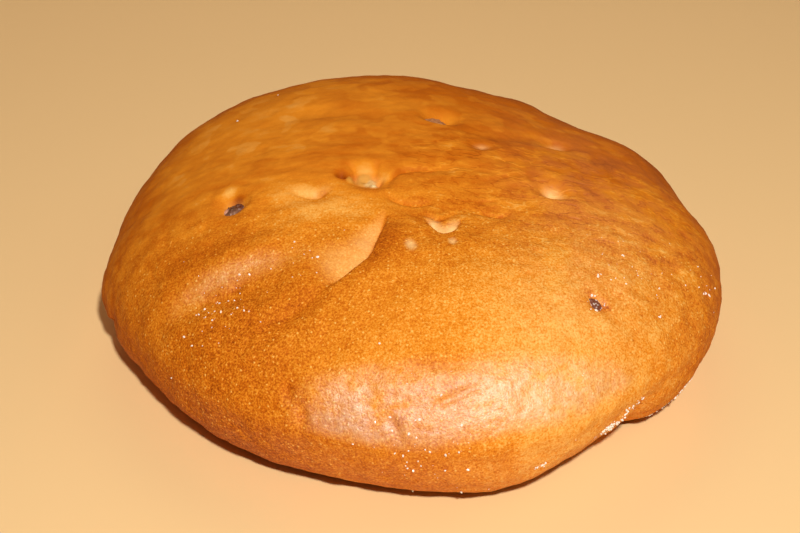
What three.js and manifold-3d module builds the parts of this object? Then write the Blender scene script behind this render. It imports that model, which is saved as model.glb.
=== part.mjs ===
// A round, flat sweet bread with raisins, baked on a plain tray so that it spread into an uneven dome.
// It is one loaf with the folds, dimples and pits of its crust in relief, the raisins that show in those
// pits, and the coarsest sugar grains stuck to the crust. Millimetres, +Z up, +Y towards the back.
// The origin is under the middle of the loaf, on the surface it rests on.
import * as THREE from 'three';
import { mergeVertices } from 'three/addons/utils/BufferGeometryUtils.js';
import Module from 'manifold-3d';

const wasm = await Module();
wasm.setup();

const { clamp, degToRad, lerp, seededRandom, smoothstep } = THREE.MathUtils;

// The bare dome
const crownHeight = 50;
const rimHeight = 17; // where the side bulges furthest out
const baseTuck = 16; // how far the side curls in between the rim and the base
const domeSquareness = 2.1; // 2 is an ellipse, more is flatter on top with a fuller shoulder
const rimRadius = 78.3;

// The outline swings in and out in waves: lobes round the rim, swing in mm, bearing of a lobe in degrees
const rimWaves = [
  { lobes: 1, swing: 1.0, bearing: -152 },
  { lobes: 2, swing: 3.4, bearing: -38 },
  { lobes: 3, swing: 1.4, bearing: -5 },
  { lobes: 4, swing: 1.1, bearing: 12 },
  { lobes: 5, swing: 0.3, bearing: -11 },
  { lobes: 7, swing: 0.6, bearing: -22 },
];

// Broad swells of the crust. Places are in plan, along and across are half sizes, turn is in degrees
const swells = {
  frontLobe: { at: [11, -53], along: 50, across: 24, turn: 6, rise: 3.5 },
  leftPlateau: { at: [-33, -13], along: 34, across: 24, turn: 20, rise: 2.0 },
  rearRight: { at: [37, 23], along: 30, across: 20, turn: -40, rise: -1.6 },
  rear: { at: [-17, 41], along: 40, across: 22, turn: 8, rise: 1.5 },
  saddle: { at: [17, -19], along: 34, across: 14, turn: 8, rise: -1.6 },
};

// Dimples and pits, as funnels. The half towards the front is shorter, near is its share of across
const pits = {
  leftRaisin: { at: [-44.2, -14.4], along: 5.5, across: 6.5, near: 0.75, turn: 25, deep: 4.0 },
  rightRaisin: { at: [43, -46.2], along: 4.6, across: 2.6, near: 1, turn: -40, deep: 1.2 },
  backRaisin: { at: [8, 23], along: 7.5, across: 6.0, near: 0.7, turn: -10, deep: 3.6 },
  navel: { at: [-11, -8.7], along: 8.5, across: 7.5, near: 0.85, turn: -5, deep: 4.0 },
  roundDimple: { at: [35.8, -8.4], along: 6.4, across: 5.6, near: 0.7, turn: -10, deep: 3.2 },
  rearRight: { at: [38.5, 17.8], along: 6.0, across: 5.0, near: 0.7, turn: 10, deep: 2.0 },
  rear: { at: [18.5, 8.6], along: 5.0, across: 3.8, near: 0.8, turn: 0, deep: 1.4 },
};
const pitPower = 1.5; // 1 is a cone, more rounds off its brim

// Folds run along a path in plan. The crust sinks slowly towards the path on its far side, which is left of
// the path's run where farSide is 1, and comes up again steeply on its near side, where it also swells to a
// lip. Flare is how wide the far slope starts, as a share of how wide it gets. Fades are shares of the path
const folds = [
  {
    path: [
      [-5.8, -20.6], [-7.2, -26], [-8.8, -31.5], [-10.7, -37], [-13.3, -40.4], [-17.1, -44], [-21.5, -47],
    ],
    farSide: -1, deep: 3.0, farSlope: 13, flare: 0.25, nearEdge: 2.8, lip: 0.8,
    fadeIn: 0.3, fadeFrom: 0.75, fadeTo: 1,
  },
  {
    path: [[-63, -36], [-53, -40.5], [-44, -43], [-36, -43.5], [-27, -43]],
    farSide: 1, deep: 1.6, farSlope: 13, flare: 1, nearEdge: 5.0, lip: 0.3,
    fadeIn: 0.4, fadeFrom: 0.6, fadeTo: 1,
  },
  {
    path: [[-31.8, -12.8], [-27.6, -14.6], [-23.6, -15.9], [-21.3, -14.9], [-17.8, -13.2]],
    farSide: 1, deep: 1.2, farSlope: 5, flare: 0.8, nearEdge: 2.4, lip: 0.3,
    fadeIn: 0.45, fadeFrom: 0.6, fadeTo: 1,
  },
  {
    path: [[2.8, -22.4], [4.6, -26.2], [7.4, -29.1], [10.4, -27.4], [12.2, -23]],
    farSide: 1, deep: 2.0, farSlope: 5.5, flare: 1, nearEdge: 2.4, lip: 0.3,
    fadeIn: 0.35, fadeFrom: 0.65, fadeTo: 1,
  },
];
const lipOffset = 5;
const lipWidth = 4.5;
const flareEnd = 0.8; // share of the path
const foldPower = 1.7; // 1 is a straight far slope, more rounds off its brim

// Creases that run out from the navel, on from the main fold and across the rear, as soft grooves, and the
// ridge over the left shoulder, whose depth is negative
const creases = [
  { path: [[-7, -13.5], [-2.8, -7], [5, -4.3], [15, -2.5], [26, -5]], width: 2.6, deep: 0.6 },
  { path: [[-7, -15], [1.2, -19.2], [11, -20], [23, -20], [36, -21.5]], width: 2.6, deep: 0.6 },
  { path: [[-18, -46], [-24, -49.8], [-29, -52.6], [-36, -53.5]], width: 2.6, deep: 1.2 },
  { path: [[-43, 21.4], [-29, 25.4], [-17, 24.4], [-3, 21.4]], width: 4.0, deep: 1.0 },
  { path: [[13, 15.4], [23, 16.4], [35, 19.4], [47, 17.4]], width: 3.6, deep: 1.0 },
  {
    path: [[-65, -38], [-56, -35], [-50, -33.3], [-37.6, -31.6], [-30, -29.6], [-23, -29]],
    width: 4.5, deep: -1.2,
  },
];

// The side wall, by bearing in degrees and height. Where a dent is negative the wall stands out. The front
// lobe laps over the right-hand lobe with a fold, and a lip of crust stands out at the left
const wallDents = [
  { bearing: -61, height: 6, radius: 7, deep: 0.9 },
  { bearing: -51, height: 6, radius: 9, deep: 2.7 },
  { bearing: -45, height: 3, radius: 5, deep: 2.8 },
  { bearing: -34, height: 6, radius: 10, deep: -1.0 },
  { bearing: -76, height: 4, radius: 8, deep: -0.8 },
  { bearing: -125, height: 5, radius: 40, deep: -0.35 },
  { bearing: -172, height: 15, radius: 9, deep: -1.6 },
  { bearing: -162, height: 6, radius: 9, deep: -1.3 },
  { bearing: 180, height: 24, radius: 14, deep: 1.2 },
  { bearing: 27, height: 30, radius: 13, deep: -1.2 },
  { bearing: 11, height: 28, radius: 8, deep: 1.0 },
  { bearing: -3, height: 25, radius: 9, deep: -0.8 },
  { bearing: 58, height: 33, radius: 9, deep: -1.2 },
  { bearing: 77, height: 36, radius: 10, deep: 0.8 },
  { bearing: 148, height: 31, radius: 10, deep: -0.7 },
];
const wallFolds = [
  {
    path: [[-45.5, 2], [-47, 7], [-47.5, 11], [-47, 15], [-45.5, 18.5], [-42, 21.5]],
    farSide: -1, deep: 3.0, farSlope: 9, flare: 1, nearEdge: 2.4, lip: 0.5,
    fadeIn: 0.15, fadeFrom: 0.4, fadeTo: 1,
  },
  {
    path: [[-177, 9], [-172, 10.5], [-168, 12], [-164, 15], [-160, 20]],
    farSide: -1, deep: 1.2, farSlope: 6, flare: 1, nearEdge: 1.0, lip: 0.3,
    fadeIn: 0.3, fadeFrom: 0.5, fadeTo: 1,
  },
];
const flatBelow = 0.5; // up to here the wall's relief is level, so that the base stays flat
const wallFullAt = 6; // and from here it goes along the outward direction
const wallShare = [0.55, 0.8]; // of the rim's radius, where the wall's relief fades in
const underPower = 4; // how fast it fades out again under the loaf
const topTilt = [-0.05, 0.35]; // upward part of the outward direction, where the relief of the top fades in

// Raisins: half of each is under the crust, in a pocket of its own shape with a little room round it
const raisins = {
  raisin_left: { at: [-44.1, -15.8], length: 9.5, width: 7.5, thickness: 5.5, turn: 33, proud: 1.6 },
  raisin_right: { at: [43, -46.2], length: 9.0, width: 4.6, thickness: 5.0, turn: -40, proud: 0.6 },
  raisin_back: { at: [6.2, 22], length: 9.0, width: 6.0, thickness: 5.0, turn: -20, proud: 1.3 },
};
const raisinWrinkles = 0.16; // depth of the skin's furrows, as a share of the raisin's half size
const pocketRoom = 0.35;

// Coarse sugar: patches on the crust, and rows along the pinched edge at the lower right
const sugarSeed = 41;
const grainSizes = [1.1, 1.8];
const sugarPatches = [
  { at: [-45, -47, 36], spread: 11, grains: 12 },
  { at: [-26, -38, 45], spread: 7, grains: 6 },
  { at: [54, -33, 40], spread: 9, grains: 7 },
  { at: [72, -24, 29], spread: 6, grains: 6 },
  { at: [5, -78, 23], spread: 13, grains: 9 },
  { at: [39, -64, 31], spread: 2, grains: 3 },
];
const sugarRows = [ // bearing and height
  { path: [[-64, 10.5], [-60, 12.5], [-55, 14], [-51.5, 14], [-49.5, 17.5], [-46, 18.5]], grains: 13 },
  { path: [[-40, 4.5], [-36, 5.5], [-32, 8], [-29, 11]], grains: 5 },
];
const grainClearance = 9; // from the middle of any raisin

// Facets
const crustDetail = 20;
const crustShare = 0.85; // how much of the way from pole to pole of the faceted ball is crust, not base
const raisinDetail = 5;
const pocketDetail = 3;
const pathSteps = 48;

const crustColour = 0xd9821f;
const raisinColour = 0x3a2016;

// Outline and profile of the bare dome
function rimAt(bearing) {
  let radius = rimRadius;
  for (const wave of rimWaves) {
    radius += wave.swing * Math.cos(wave.lobes * (bearing - degToRad(wave.bearing)));
  }
  return radius;
}

// Half a section of the dome at the mean radius: from the crown over the shoulder to the rim, then in
// under the rim to the edge of the base
class DomeProfile extends THREE.Curve {
  getPoint(t, target = new THREE.Vector2()) {
    const angle = t * Math.PI;
    if (angle <= Math.PI / 2) {
      const power = 2 / domeSquareness;
      const out = Math.sin(angle) ** power;
      const up = Math.max(Math.cos(angle), 0) ** power;
      return target.set(rimRadius * out, rimHeight + (crownHeight - rimHeight) * up);
    }
    const below = angle - Math.PI / 2;
    return target.set(rimRadius - baseTuck * (1 - Math.cos(below)), rimHeight * (1 - Math.sin(below)));
  }
}

const domeProfile = new DomeProfile();
domeProfile.arcLengthDivisions = 600;

function domePoint(direction) {
  const bearing = Math.atan2(direction.y, direction.x);
  const fromTop = Math.acos(clamp(direction.z, -1, 1)) / Math.PI;
  const section = domeProfile.getPointAt(Math.min(fromTop / crustShare, 1));
  if (fromTop > crustShare) {
    section.set(section.x * (1 - fromTop) / (1 - crustShare), 0);
  }
  const radius = section.x * rimAt(bearing) / rimRadius;
  return new THREE.Vector3(radius * Math.cos(bearing), radius * Math.sin(bearing), Math.max(section.y, 0));
}

// Squared distance from a place in plan to the middle of an oval, counted in its own half sizes
function ovalDistance(x, y, oval) {
  const turn = degToRad(oval.turn);
  const dx = x - oval.at[0];
  const dy = y - oval.at[1];
  const u = (dx * Math.cos(turn) + dy * Math.sin(turn)) / oval.along;
  const v = (dy * Math.cos(turn) - dx * Math.sin(turn)) / oval.across;
  const w = v < 0 ? v / (oval.near ?? 1) : v;
  return u * u + w * w;
}

function smoothPath(points) {
  const corners = points.map(([x, y]) => new THREE.Vector3(x, y, 0));
  return new THREE.CatmullRomCurve3(corners, false, 'catmullrom', 0.5).getPoints(pathSteps);
}

// How far a place is from a path, to which side of it (left of its run is positive), and how far along
function besidePath(path, x, y) {
  const place = new THREE.Vector3(x, y, 0);
  const segment = new THREE.Line3();
  const nearest = new THREE.Vector3();
  let best = { offset: Infinity, along: 0 };
  for (let i = 0; i + 1 < path.length; i += 1) {
    segment.set(path[i], path[i + 1]);
    const share = segment.closestPointToPointParameter(place, true);
    segment.at(share, nearest);
    const distance = nearest.distanceTo(place);
    if (distance < Math.abs(best.offset)) {
      const run = segment.delta(new THREE.Vector3());
      const side = Math.sign(run.x * (y - nearest.y) - run.y * (x - nearest.x)) || 1;
      best = { offset: side * distance, along: (i + share) / (path.length - 1) };
    }
  }
  return best;
}

// The wall is measured as if unrolled: millimetres round the mean rim, and height
const arcOf = (degrees) => degToRad(degrees) * rimRadius;
const unrolled = (path) => smoothPath(path.map(([bearing, height]) => [arcOf(bearing), height]));

for (const groove of [...folds, ...creases]) groove.line = smoothPath(groove.path);
for (const groove of [...wallFolds, ...sugarRows]) groove.line = unrolled(groove.path);

function foldRelief(fold, x, y) {
  const { offset, along } = besidePath(fold.line, x, y);
  const faded = smoothstep(along, fold.fadeFrom, fold.fadeTo);
  const strength = smoothstep(along, 0, fold.fadeIn) * (1 - faded);
  const behind = offset * fold.farSide;
  const farSlope = fold.farSlope * lerp(fold.flare, 1, smoothstep(along, 0, flareEnd));
  const farSide = clamp(1 - behind / farSlope, 0, 1) ** foldPower;
  const nearSide = smoothstep(behind, -fold.nearEdge, 0);
  const lip = fold.lip * Math.exp(-(((behind + lipOffset) / lipWidth) ** 2));
  return strength * (lip - fold.deep * (behind > 0 ? farSide : nearSide));
}

function creaseRelief(crease, x, y) {
  const { offset, along } = besidePath(crease.line, x, y);
  return -crease.deep * Math.exp(-((offset / crease.width) ** 2)) * Math.sin(Math.PI * along);
}

function topRelief(x, y) {
  let height = 0;
  for (const swell of Object.values(swells)) {
    height += swell.rise * Math.exp(-ovalDistance(x, y, swell));
  }
  for (const pit of Object.values(pits)) {
    height -= pit.deep * Math.max(1 - Math.sqrt(ovalDistance(x, y, pit)), 0) ** pitPower;
  }
  for (const fold of folds) height += foldRelief(fold, x, y);
  for (const crease of creases) height += creaseRelief(crease, x, y);
  return height;
}

function wallRelief(bearing, z) {
  const arc = bearing * rimRadius;
  const wholeTurn = 2 * Math.PI * rimRadius;
  let height = 0;
  for (const dent of wallDents) {
    const gap = arc - arcOf(dent.bearing);
    const round = gap - wholeTurn * Math.round(gap / wholeTurn);
    const distance = Math.hypot(round, z - dent.height) / dent.radius;
    height -= dent.deep * Math.exp(-(distance ** 2));
  }
  for (const fold of wallFolds) height += foldRelief(fold, arc, z);
  return height;
}

function closedBall(detail) {
  const ball = new THREE.IcosahedronGeometry(1, detail);
  ball.deleteAttribute('normal');
  ball.deleteAttribute('uv');
  return mergeVertices(ball);
}

function moveVertices(geometry, move) {
  const position = geometry.getAttribute('position');
  const normal = geometry.getAttribute('normal');
  const point = new THREE.Vector3();
  const outward = new THREE.Vector3();
  for (let i = 0; i < position.count; i += 1) {
    point.fromBufferAttribute(position, i);
    if (normal) outward.fromBufferAttribute(normal, i);
    const moved = move(point, outward);
    position.setXYZ(i, moved.x, moved.y, moved.z);
  }
}

// The crust: the bare dome, then its relief along the outward direction. The relief of the top fades out
// over the rim, where the side starts to turn under, and that of the wall fades out under the loaf
function crustGeometry() {
  const geometry = closedBall(crustDetail);
  moveVertices(geometry, domePoint);
  geometry.computeVertexNormals();
  moveVertices(geometry, (point, outward) => {
    const bearing = Math.atan2(point.y, point.x);
    const fromMiddle = Math.hypot(point.x, point.y);
    const baseRadius = (1 - baseTuck / rimRadius) * rimAt(bearing);
    const onTop = smoothstep(outward.z, ...topTilt);
    const outFromBase = Math.min(fromMiddle / baseRadius, 1);
    const onWall = smoothstep(fromMiddle / rimRadius, ...wallShare) * outFromBase ** underPower;
    const sideways = new THREE.Vector3(point.x, point.y, 0).normalize();
    const wallWay = sideways.lerp(outward, smoothstep(point.z, flatBelow, wallFullAt));
    const moved = point.clone().addScaledVector(outward, onTop * topRelief(point.x, point.y));
    return moved.addScaledVector(wallWay, onWall * wallRelief(bearing, point.z));
  });
  geometry.computeVertexNormals();
  return geometry;
}

// The middle and the outward direction of the facet of the crust that is nearest to a place
function crustFacets(geometry) {
  const index = geometry.getIndex();
  const position = geometry.getAttribute('position');
  const facets = [];
  for (let i = 0; i < index.count; i += 3) {
    const facet = new THREE.Triangle();
    facet.setFromAttributeAndIndices(position, index.getX(i), index.getX(i + 1), index.getX(i + 2));
    const middle = facet.getMidpoint(new THREE.Vector3());
    const outward = facet.getNormal(new THREE.Vector3());
    facets.push({ middle, outward });
  }
  return facets;
}

function nearestFacet(facets, measure) {
  let best = facets[0];
  let least = Infinity;
  for (const facet of facets) {
    const distance = measure(facet);
    if (distance < least) {
      least = distance;
      best = facet;
    }
  }
  return best;
}

// A piece lies on the crust with its Z axis along the crust's outward direction
function lieOnCrust(facet, turn, lift) {
  const tilt = new THREE.Quaternion().setFromUnitVectors(new THREE.Vector3(0, 0, 1), facet.outward);
  tilt.multiply(new THREE.Quaternion().setFromAxisAngle(new THREE.Vector3(0, 0, 1), turn));
  const place = facet.middle.clone().addScaledVector(facet.outward, lift);
  return new THREE.Matrix4().compose(place, tilt, new THREE.Vector3(1, 1, 1));
}

// A raisin lies as the crust round it does
function raisinPlace(raisin, facets) {
  const fromRaisin = ({ middle }) => Math.hypot(middle.x - raisin.at[0], middle.y - raisin.at[1]);
  const around = facets.filter((facet) => facet.outward.z > 0 && fromRaisin(facet) < raisin.length);
  const outward = new THREE.Vector3();
  for (const facet of around) outward.add(facet.outward);
  const middle = new THREE.Vector3(...raisin.at, nearestFacet(around, fromRaisin).middle.z);
  const lift = raisin.proud - raisin.thickness / 2;
  return lieOnCrust({ middle, outward: outward.normalize() }, degToRad(raisin.turn), lift);
}

// Furrows run mostly along a raisin and wander as they go. They only ever go in, so the raisin keeps
// inside its pocket
function raisinGeometry(raisin) {
  const geometry = closedBall(raisinDetail);
  moveVertices(geometry, (direction) => {
    const round = Math.atan2(direction.z, direction.y);
    const wander = 1.3 * Math.sin(3.1 * direction.x + raisin.turn) + 0.6 * Math.sin(7.3 * direction.x);
    const furrow = 0.5 + 0.5 * Math.sin(6 * round + wander);
    const crossFurrow = 0.5 + 0.5 * Math.sin(4.7 * direction.x + 2 * round + raisin.length);
    const ends = 1 - direction.x ** 2;
    const size = 1 - raisinWrinkles * ends * (0.7 * furrow + 0.3 * crossFurrow);
    return direction.clone().multiplyScalar(size);
  });
  geometry.scale(raisin.length / 2, raisin.width / 2, raisin.thickness / 2);
  return geometry;
}

function pocketGeometry(raisin) {
  const geometry = closedBall(pocketDetail);
  const half = (size) => size / 2 + pocketRoom;
  geometry.scale(half(raisin.length), half(raisin.width), half(raisin.thickness));
  return geometry;
}

// Sugar crystals are small cuboids, sunk to their middle and lying any way up
function grainGeometry(facet) {
  const draw = () => lerp(grainSizes[0], grainSizes[1], seededRandom());
  const grain = new THREE.BoxGeometry(draw(), draw(), draw());
  const anyAngle = () => 2 * Math.PI * seededRandom();
  grain.rotateX(anyAngle()).rotateY(anyAngle()).rotateZ(anyAngle());
  grain.applyMatrix4(lieOnCrust(facet, 0, 0));
  return grain;
}

function sugarGrains(facets, raisinPlaces) {
  seededRandom(sugarSeed);
  const taken = new Set();
  const grains = [];
  const put = (facet) => {
    const clear = raisinPlaces.every((place) => facet.middle.distanceTo(place) > grainClearance);
    if (!clear || taken.has(facet)) return;
    taken.add(facet);
    grains.push(grainGeometry(facet));
  };
  for (const patch of sugarPatches) {
    const centre = new THREE.Vector3(...patch.at);
    for (let i = 0; i < patch.grains; i += 1) {
      const shift = new THREE.Vector3(seededRandom() - 0.5, seededRandom() - 0.5, seededRandom() - 0.5);
      const wanted = centre.clone().addScaledVector(shift, 2 * patch.spread);
      put(nearestFacet(facets, ({ middle }) => middle.distanceTo(wanted)));
    }
  }
  const wall = facets.filter(({ middle }) => middle.z > flatBelow && middle.z < rimHeight + wallFullAt);
  for (const row of sugarRows) {
    for (let i = 0; i < row.grains; i += 1) {
      const spot = row.line[Math.floor((i + seededRandom()) / row.grains * pathSteps)];
      const fromSpot = ({ middle }) => {
        return Math.hypot(Math.atan2(middle.y, middle.x) * rimRadius - spot.x, middle.z - spot.y);
      };
      put(nearestFacet(wall, fromSpot));
    }
  }
  return grains;
}

// Joins and cuts
function toSolid(geometry) {
  const bare = new THREE.BufferGeometry();
  bare.setAttribute('position', geometry.getAttribute('position'));
  bare.setIndex(geometry.getIndex());
  const merged = mergeVertices(bare);
  return new wasm.Manifold(new wasm.Mesh({
    numProp: 3,
    vertProperties: new Float32Array(merged.getAttribute('position').array),
    triVerts: new Uint32Array(merged.getIndex().array),
  }));
}

function fromSolid(solid) {
  const mesh = solid.getMesh();
  const geometry = new THREE.BufferGeometry();
  geometry.setAttribute('position', new THREE.BufferAttribute(mesh.vertProperties, 3));
  geometry.setIndex(new THREE.BufferAttribute(mesh.triVerts, 1));
  geometry.computeVertexNormals();
  return geometry;
}

function namedMesh(name, geometry, material) {
  const mesh = new THREE.Mesh(geometry, material);
  mesh.name = name;
  return mesh;
}

// The bread
const bread = new THREE.Group();
bread.name = 'sweet_bread';

const crustMaterial = new THREE.MeshStandardMaterial({ color: crustColour, roughness: 0.5, metalness: 0 });
const raisinMaterial = new THREE.MeshStandardMaterial({ color: raisinColour, roughness: 0.35, metalness: 0 });

const crust = crustGeometry();
const facets = crustFacets(crust);
let loaf = toSolid(crust);
const raisinPlaces = [];

for (const [name, raisin] of Object.entries(raisins)) {
  const place = raisinPlace(raisin, facets);
  raisinPlaces.push(new THREE.Vector3().setFromMatrixPosition(place));
  loaf = loaf.subtract(toSolid(pocketGeometry(raisin).applyMatrix4(place)));
  const mesh = namedMesh(name, raisinGeometry(raisin), raisinMaterial);
  mesh.applyMatrix4(place);
  bread.add(mesh);
}

for (const grain of sugarGrains(facets, raisinPlaces)) {
  loaf = loaf.add(toSolid(grain));
}

bread.add(namedMesh('loaf', fromSolid(loaf), crustMaterial));

export default bread;
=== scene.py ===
# A round sweet bread with raisins and coarse sugar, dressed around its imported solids.
# Sizes are in mm unless a name says otherwise, bearings and turns in degrees.
import math

import bmesh
import bpy
import numpy as np
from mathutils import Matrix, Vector


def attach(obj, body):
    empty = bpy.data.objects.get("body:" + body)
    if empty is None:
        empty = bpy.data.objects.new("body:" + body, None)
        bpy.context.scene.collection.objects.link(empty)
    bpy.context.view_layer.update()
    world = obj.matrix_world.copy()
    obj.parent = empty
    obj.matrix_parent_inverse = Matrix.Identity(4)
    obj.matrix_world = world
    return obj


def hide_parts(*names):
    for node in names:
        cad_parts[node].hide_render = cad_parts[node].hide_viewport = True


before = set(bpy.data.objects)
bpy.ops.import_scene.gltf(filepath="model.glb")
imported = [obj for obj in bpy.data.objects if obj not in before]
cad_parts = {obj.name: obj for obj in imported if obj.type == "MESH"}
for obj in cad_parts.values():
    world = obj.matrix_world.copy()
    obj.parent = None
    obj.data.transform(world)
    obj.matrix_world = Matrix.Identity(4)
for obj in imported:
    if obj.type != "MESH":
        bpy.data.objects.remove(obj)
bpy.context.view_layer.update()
mm = 0.001
body = "root"
noiseMiddle = 0.5


# Node wiring, for materials and for geometry

class Wire:
    def __init__(self, graph, socket):
        self.graph = graph
        self.socket = socket

    def maths(self, operation, first, second=0.0):
        return self.graph.node("ShaderNodeMath", {"operation": operation}, {0: first, 1: second})

    def __add__(self, other):
        return self.maths("ADD", self, other)

    __radd__ = __add__

    def __sub__(self, other):
        return self.maths("SUBTRACT", self, other)

    def __rsub__(self, other):
        return self.maths("SUBTRACT", other, self)

    def __mul__(self, other):
        return self.maths("MULTIPLY", self, other)

    def __rtruediv__(self, other):
        return self.maths("DIVIDE", other, self)

    def __pow__(self, other):
        return self.maths("POWER", self, other)

    def __abs__(self):
        return self.maths("ABSOLUTE", self)


class Graph:
    def __init__(self, tree):
        self.tree = tree

    def node(self, kind, settings=None, sockets=None, out=0):
        node = self.tree.nodes.new(kind)
        for name, value in (settings or {}).items():
            if name == "stops":
                fillRamp(node.color_ramp, value)
            else:
                setattr(node, name, value)
        for name, value in (sockets or {}).items():
            if isinstance(value, Wire):
                self.tree.links.new(value.socket, node.inputs[name])
            else:
                node.inputs[name].default_value = value
        return Wire(self, node.outputs[out]) if node.outputs else None

    def noise(self, place, size, detail, roughness=0.5, distortion=0.0):
        sockets = {"Vector": place, "Scale": 1 / (size * mm), "Detail": detail, "Roughness": roughness}
        return self.node("ShaderNodeTexNoise", None, {**sockets, "Distortion": distortion})

    def swing(self, *noise):  # a noise about zero
        return self.noise(*noise) - noiseMiddle

    def cells(self, place, size, out):
        return self.node("ShaderNodeTexVoronoi", None, {"Vector": place, "Scale": 1 / (size * mm)}, out=out)

    def step(self, value, low, high):
        sockets = {"Value": value, "From Min": low, "From Max": high}
        return self.node("ShaderNodeMapRange", {"interpolation_type": "SMOOTHSTEP"}, sockets)

    def blend(self, share, first, second):
        first, second = (colour if isinstance(colour, Wire) else (*colour, 1) for colour in (first, second))
        sockets = {0: share, 6: first, 7: second}
        return self.node("ShaderNodeMix", {"data_type": "RGBA", "clamp_factor": True}, sockets, out=2)

    def vectors(self, operation, first, second, out=0):
        return self.node("ShaderNodeVectorMath", {"operation": operation}, {0: first, 1: second}, out)

    def scaled(self, vector, share):
        return self.node("ShaderNodeVectorMath", {"operation": "SCALE"}, {0: vector, "Scale": share})

    def bump(self, height, distance):
        sockets = {"Strength": 1.0, "Distance": distance * mm, "Height": height}
        return self.node("ShaderNodeBump", None, sockets)

    def attribute(self, name, out="Fac"):  # of the mesh, in a material
        return self.node("ShaderNodeAttribute", {"attribute_name": name}, out=out)

    def layer(self, name, kind="FLOAT"):  # the same, in a geometry tree
        return self.node("GeometryNodeInputNamedAttribute", {"data_type": kind}, {"Name": name})


def fillRamp(ramp, stops):
    while len(ramp.elements) < len(stops):
        ramp.elements.new(0.5)  # moved to its place below
    for element, (position, colour) in zip(ramp.elements, stops):
        element.position = position
        element.color = (*colour, 1)


def newMaterial(name):
    material = bpy.data.materials.new(name)
    material.use_nodes = True
    material.node_tree.nodes.clear()
    return material, Graph(material.node_tree)


def shader(graph, sockets):
    return graph.node("ShaderNodeBsdfPrincipled", None, sockets)


def finishMaterial(graph, surface):
    graph.node("ShaderNodeOutputMaterial", None, {"Surface": surface})


def newGeometryTree(name, values):  # an input for each value and one for the material
    tree = bpy.data.node_groups.new(name, "GeometryNodeTree")
    tree.interface.new_socket("Geometry", in_out="INPUT", socket_type="NodeSocketGeometry")
    tree.interface.new_socket("Geometry", in_out="OUTPUT", socket_type="NodeSocketGeometry")
    for label, value in values.items():
        kind = "NodeSocketInt" if isinstance(value, int) else "NodeSocketFloat"
        tree.interface.new_socket(label, in_out="INPUT", socket_type=kind)
    tree.interface.new_socket("Material", in_out="INPUT", socket_type="NodeSocketMaterial")
    graph = Graph(tree)
    entry = tree.nodes.new("NodeGroupInput")
    return graph, {socket.name: Wire(graph, socket) for socket in entry.outputs if socket.name}


def finishGeometryTree(graph, geometry, material):
    real = graph.node("GeometryNodeRealizeInstances", None, {"Geometry": geometry})
    dressed = graph.node("GeometryNodeSetMaterial", None, {"Geometry": real, "Material": material})
    graph.node("NodeGroupOutput", None, {"Geometry": dressed})
    return graph.tree


def pushedOut(graph, geometry, rise):  # along the normal
    offset = graph.scaled(graph.node("GeometryNodeInputNormal"), rise)
    return graph.node("GeometryNodeSetPosition", None, {"Geometry": geometry, "Offset": offset})


def dress(piece, tree, values, material):  # puts a geometry tree on a piece and makes it plain mesh
    values = {**values, "Material": material}
    modifier = piece.modifiers.new(tree.name, "NODES")
    modifier.node_group = tree
    for item in tree.interface.items_tree:
        if item.in_out == "INPUT" and item.name in values:
            modifier[item.identifier] = values[item.name]
    bpy.context.view_layer.update()
    depsgraph = bpy.context.evaluated_depsgraph_get()
    evaluated = piece.evaluated_get(depsgraph)
    made = bpy.data.meshes.new_from_object(evaluated, preserve_all_data_layers=True, depsgraph=depsgraph)
    piece.modifiers.clear()
    piece.data = made


def newPiece(name, data):
    piece = bpy.data.objects.new(name, data)
    bpy.context.scene.collection.objects.link(piece)
    return piece


# The loaf's form: a bare dome, then the relief of its crust along the outward direction

def ovalAt(at, along, across, near=1, turn=0, **more):  # half sizes: near is a share of across, at the front
    return {"at": at, "along": along, "across": across, "near": near, "turn": turn, **more}


def lineOn(path, width, **more):
    return {"path": path, "width": width, **more}


def foldOn(path, **more):  # flare is how wide the far slope starts, as a share of how wide it gets
    return {"path": path, "farSide": 1, "flare": 1, "lip": 0.3, **more}


def dentAt(bearing, height, radius, deep):
    return {"bearing": bearing, "height": height, "radius": radius, "deep": deep}


rimRadius = 78.3  # mean
loafForm = {
    "crownHeight": 50.0,  # of the bare dome
    "rimHeight": 17.0,  # where the side bulges furthest out
    "baseTuck": 16.0,  # how far the side curls in below that
    "domeSquareness": 2.1,  # 2 is an ellipse, more has a fuller shoulder
    "rimWaves": [(1, 1.0, -152), (2, 3.4, -38), (3, 1.4, -5), (4, 1.1, 12), (5, 0.3, -11), (7, 0.6, -22)],
    "profileSteps": 400,
    "gridSteps": 126,
    "crustShare": 0.88,  # of the way from pole to pole of the grid, the rest is the base
}
swells = {
    "frontLobe": ovalAt((11, -53), 50, 24, turn=6, rise=3.5),
    "leftPlateau": ovalAt((-33, -13), 34, 24, turn=20, rise=2.0),
    "rearRight": ovalAt((37, 23), 30, 20, turn=-40, rise=-1.6),
    "rear": ovalAt((-17, 41), 40, 22, turn=8, rise=1.5),
    "saddle": ovalAt((17, -19), 34, 14, turn=8, rise=-1.6),
}
pits = {  # funnels
    "leftRaisin": ovalAt((-44.2, -14.4), 5.5, 6.5, near=0.75, turn=25, deep=4.0),
    "rightRaisin": ovalAt((43, -46.2), 4.6, 2.6, turn=-40, deep=1.2),
    "backRaisin": ovalAt((8, 23), 7.5, 6.0, near=0.7, turn=-10, deep=3.6),
    "navel": ovalAt((-11, -8.7), 8.5, 7.5, near=0.85, turn=-5, deep=4.0),
    "roundDimple": ovalAt((35.8, -8.4), 6.4, 5.6, near=0.7, turn=-10, deep=3.2),
    "rearRight": ovalAt((38.5, 17.8), 6.0, 5.0, near=0.7, turn=10, deep=2.0),
    "rear": ovalAt((18.5, 8.6), 5.0, 3.8, near=0.8, deep=1.4),
}
pitPower = 1.5  # 1 is a cone, more rounds off its brim
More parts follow.
